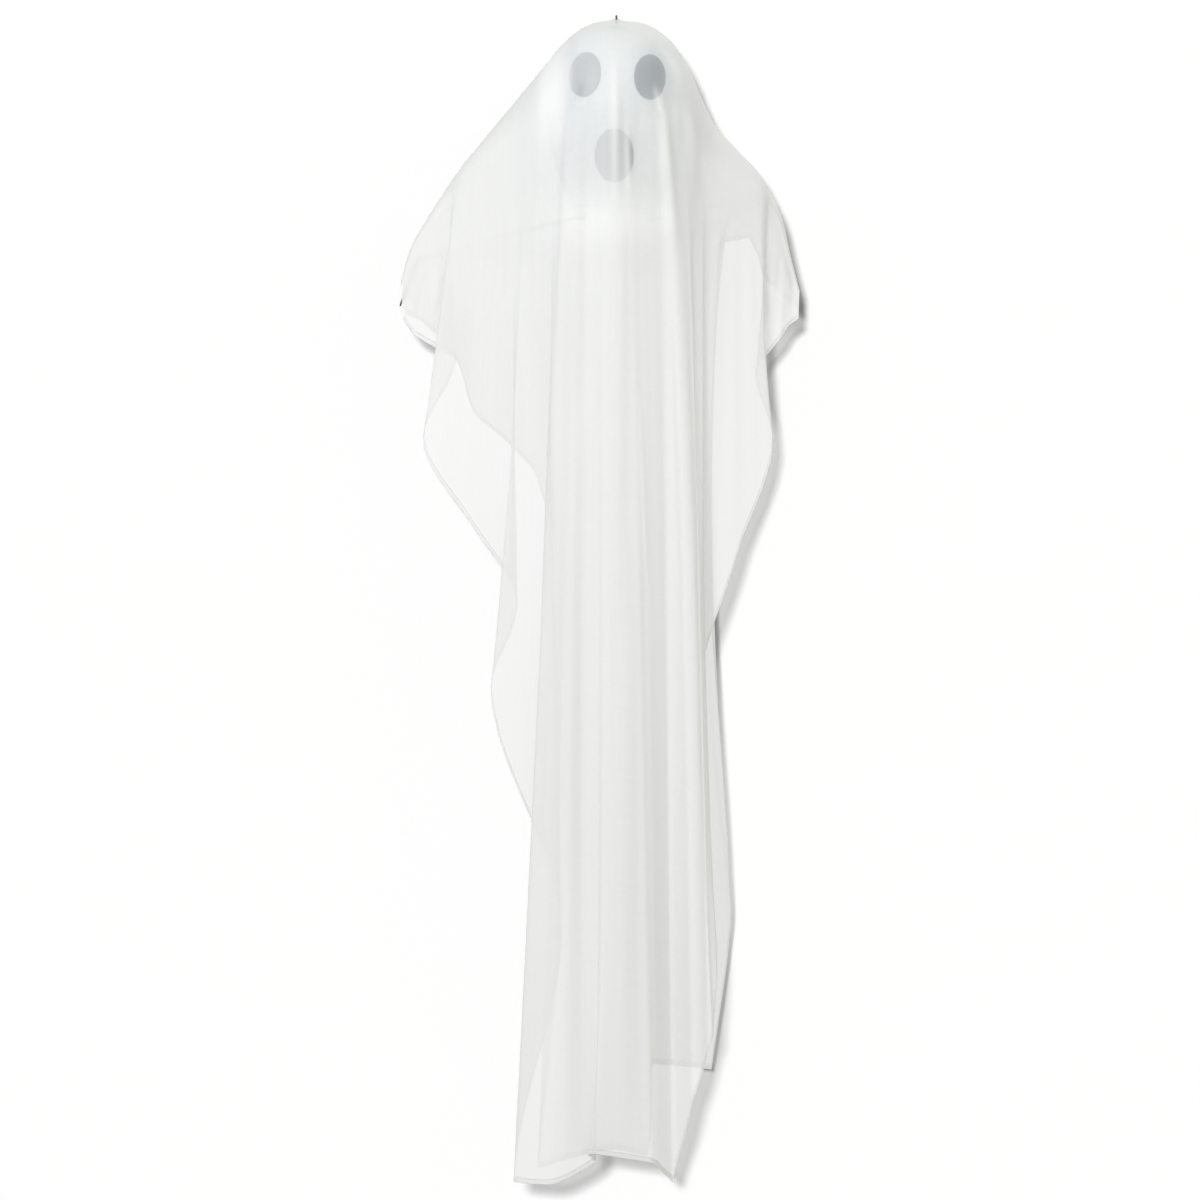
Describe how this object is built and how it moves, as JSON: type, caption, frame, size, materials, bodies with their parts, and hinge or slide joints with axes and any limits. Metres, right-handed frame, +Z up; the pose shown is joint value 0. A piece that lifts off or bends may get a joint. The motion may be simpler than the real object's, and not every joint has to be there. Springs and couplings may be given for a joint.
{
  "type": "hanging ghost decoration",
  "caption": "Hanging ghost: a long sheer white sheet draped over a hollow head with black felt eyes and mouth, bendable wire arms that hold the sides out, and a steel hanging eye at the crown.",
  "frame": {"origin": "centre of the hole in the hanging eye at the crown", "axes": "+Z up, -Y out of the face, +X along the hanging eye's hole"},
  "size_m": [0.4203, 0.1983, 1.225],
  "materials": {
    "dark_steel": "drawn wire, dull with a brown bloom",
    "zinc_steel": "zinc plated",
    "white_plastic": "moulded, satin",
    "black_felt": "needle felt",
    "wire_jacket": "extruded, satin",
    "tie_thread": "wound sewing thread",
    "voile": "sheer plain-woven voile"
  },
  "bodies": {
    "root": {"hanging_rod": "dark_steel", "crown_nut": "zinc_steel", "crown_washer": "zinc_steel", "face_shell": "white_plastic", "rear_shell": "white_plastic", "left_eye_patch": "black_felt", "right_eye_patch": "black_felt", "mouth_patch": "black_felt", "neck_plug": "white_plastic", "plug_washer": "zinc_steel", "rod_nut": "zinc_steel", "shoulder_screws": "zinc_steel", "shoulder_washers": "zinc_steel", "shroud_front": "voile", "shroud_back": "voile"},
    "left_arm": {"left_arm_wire": "dark_steel", "left_arm_jacket": "wire_jacket", "left_wrist_tie": "tie_thread", "left_sleeve": "voile"},
    "right_arm": {"right_arm_wire": "dark_steel", "right_arm_jacket": "wire_jacket", "right_wrist_tie": "tie_thread", "right_sleeve": "voile"}
  },
  "joints": [
    {"name": "left_arm_swing", "type": "hinge", "parent": "root", "child": "left_arm", "pos_m": [-0.035, 0, -0.21025], "axis": [0, 0, 1], "range_deg": [-30, 40], "deforming": ["left_sleeve"]},
    {"name": "right_arm_swing", "type": "hinge", "parent": "root", "child": "right_arm", "pos_m": [0.035, 0, -0.21025], "axis": [0, 0, -1], "range_deg": [-30, 40], "deforming": ["right_sleeve"]}
  ]
}
